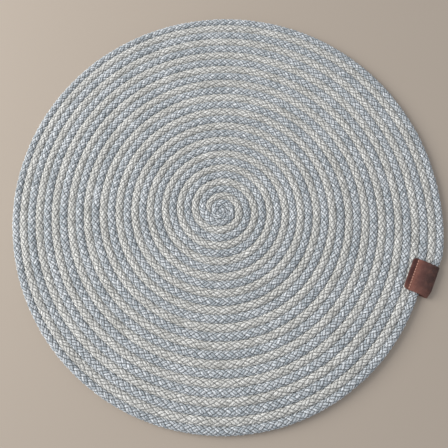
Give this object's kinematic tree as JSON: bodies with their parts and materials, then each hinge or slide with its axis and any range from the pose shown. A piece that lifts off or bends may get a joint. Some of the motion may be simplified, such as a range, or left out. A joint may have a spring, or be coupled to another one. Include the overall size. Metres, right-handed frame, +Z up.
{
  "type": "coiled rope placemat",
  "caption": "Round placemat coiled from braided cotton cords, blue-grey and cream side by side in a double spiral, with a folded leather tag over the rim.",
  "frame": {"origin": "centre of the coil, on its underside", "axes": "+Z up, out of the face that is laid up; +X towards the side that bears the tag, which lies 24 degrees clockwise from +X"},
  "size_m": [0.3488, 0.3468, 0.007],
  "materials": {
    "blue_cord": "braided cotton, blue-grey and white melange, matt",
    "cream_cord": "braided cotton, cream and beige melange, matt",
    "leather_tag": "reddish-brown full-grain leather, satin"
  },
  "bodies": {
    "root": {"blue_cord": "blue_cord", "cream_cord": "cream_cord", "leather_tag": "leather_tag"}
  },
  "joints": []
}
